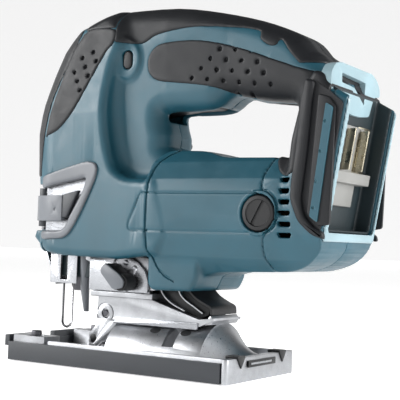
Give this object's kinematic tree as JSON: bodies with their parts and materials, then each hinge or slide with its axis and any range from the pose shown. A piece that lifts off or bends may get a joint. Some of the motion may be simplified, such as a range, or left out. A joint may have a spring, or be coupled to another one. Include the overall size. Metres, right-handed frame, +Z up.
{
  "type": "cordless jigsaw",
  "caption": "Cordless top-handle jigsaw with D-shaped grip, tilting slotted shoe, orbital roller, blade clamp and open battery bay; no battery or blade fitted.",
  "frame": {"origin": "centre of the shoe's sole, on the blade line", "axes": "+Z up from the sole, +X towards the battery mount (the blade is at -X), +Y to the tool's right-hand side"},
  "size_m": [0.2259, 0.077, 0.2126],
  "materials": {
    "teal_housing": "fine moulded grain",
    "elastomer": "soft, matt",
    "cast_aluminium": "die-cast, satin",
    "black_plastic": "matt",
    "grey_plastic": "matt, metallic grey tint",
    "pale_plastic": "satin",
    "steel": "ground",
    "dark_steel": "blackened",
    "brass": "satin",
    "copper": "turned",
    "carbon": "pressed carbon"
  },
  "bodies": {
    "tool": {"housing_left": "teal_housing", "housing_right": "teal_housing", "gear_housing": "cast_aluminium", "grip_left": "elastomer", "grip_right": "elastomer", "side_pad_left": "elastomer", "side_pad_right": "elastomer", "front_pad_left": "elastomer", "front_pad_right": "elastomer", "bumper_left": "elastomer", "bumper_right": "elastomer", "terminal_block": "pale_plastic", "terminal_positive": "brass", "terminal_negative": "brass", "selector_plate": "cast_aluminium", "opener_bezel": "grey_plastic", "opener_pin": "steel", "wire_guard": "steel", "front_deflector": "steel", "blower_nozzle": "grey_plastic", "magnet_yoke": "dark_steel", "front_bearing": "steel", "rear_bearing": "steel", "brush_left": "carbon", "brush_right": "carbon", "brush_cap_left": "black_plastic", "brush_cap_right": "black_plastic", "gear_axle": "steel", "plunger_bush_lower": "brass", "plunger_bush_upper": "brass", "switch_body": "black_plastic", "arm_pivot_pin": "steel", "tilt_bolt": "dark_steel", "housing_screw_1": "dark_steel", "housing_screw_2": "dark_steel", "housing_screw_3": "dark_steel", "housing_screw_4": "dark_steel"},
    "shoe": {"base_plate": "cast_aluminium", "base_cover": "black_plastic", "fence_bolt_left": "dark_steel", "fence_bolt_right": "dark_steel"},
    "trigger": {"trigger": "black_plastic"},
    "lock_off": {"lock_off_button": "black_plastic"},
    "opener": {"tool_opener": "grey_plastic"},
    "selector": {"orbit_selector": "black_plastic"},
    "plunger": {"plunger_rod": "steel", "crosshead": "steel", "blade_clamp": "steel"},
    "armature": {"armature_shaft": "steel", "armature_core": "dark_steel", "commutator": "copper", "cooling_fan": "black_plastic", "pinion": "steel"},
    "crank": {"crank_gear": "steel", "crank_pin": "steel"},
    "roller_arm": {"roller_arm": "dark_steel", "roller_pin": "steel"},
    "roller": {"roller": "steel"}
  },
  "joints": [
    {"name": "shoe_tilt", "type": "hinge", "parent": "tool", "child": "shoe", "pos_m": [0, 0, 0.002], "axis": [1, 0, 0], "range_deg": [-45, 45]},
    {"name": "trigger_pull", "type": "hinge", "parent": "tool", "child": "trigger", "pos_m": [0.044, 0, 0.158], "axis": [0, 1, 0], "range_deg": [0, 7], "stiffness_Nm_per_rad": 2.5, "springref_deg": -1.72},
    {"name": "lock_off_slide", "type": "slide", "parent": "tool", "child": "lock_off", "axis": [0, 1, 0], "range_m": [-0.0025, 0.0025]},
    {"name": "opener_swing", "type": "hinge", "parent": "tool", "child": "opener", "pos_m": [-0.068, -0.019, 0.093], "axis": [0, 0, -1], "range_deg": [0, 45]},
    {"name": "orbit_select", "type": "hinge", "parent": "tool", "child": "selector", "pos_m": [-0.001, 0, 0.0502], "axis": [0, 1, 0], "range_deg": [0, 85]},
    {"name": "plunger_stroke", "type": "slide", "parent": "tool", "child": "plunger", "axis": [0, 0, 1], "range_m": [-0.026, 0]},
    {"name": "motor_spin", "type": "hinge", "parent": "tool", "child": "armature", "pos_m": [0, 0, 0.091], "axis": [1, 0, 0], "continuous": true},
    {"name": "crank_spin", "type": "hinge", "parent": "tool", "child": "crank", "pos_m": [0, 0, 0.11725], "axis": [1, 0, 0], "continuous": true},
    {"name": "roller_arm_swing", "type": "hinge", "parent": "tool", "child": "roller_arm", "pos_m": [-0.02, 0, 0.03], "axis": [0, 1, 0], "range_deg": [0, 6]},
    {"name": "roller_spin", "type": "hinge", "parent": "roller_arm", "child": "roller", "pos_m": [-0.036, 0, 0.0125], "axis": [0, 1, 0], "continuous": true}
  ],
  "couplings": [
    {"joint": "crank_spin", "follows": "motor_spin", "ratio": -0.23529}
  ]
}
